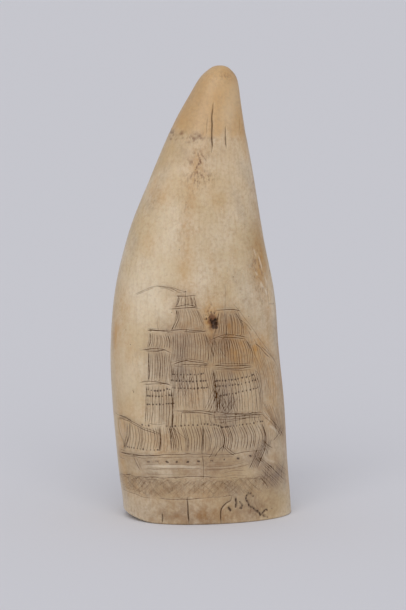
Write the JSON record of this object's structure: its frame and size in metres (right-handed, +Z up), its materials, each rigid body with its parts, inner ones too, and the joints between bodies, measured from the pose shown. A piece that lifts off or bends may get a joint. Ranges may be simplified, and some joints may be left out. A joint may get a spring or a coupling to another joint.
{
  "type": "scrimshaw whale tooth",
  "caption": "Sperm whale tooth sawn flat at the root to stand upright, its pulp cavity open below, with a full-rigged ship scored and inked on the front.",
  "frame": {"origin": "on the surface it stands on, under the middle of the tooth's bounding box", "axes": "+Z up towards the tip, -Y out of the engraved front, X across the tooth, with the tip leaning towards +X"},
  "size_m": [0.0608, 0.0398, 0.15],
  "materials": {
    "ivory": "aged whale ivory, satin hand polish, soot rubbed into the scored lines"
  },
  "bodies": {
    "root": {"tooth": "ivory"}
  },
  "joints": []
}
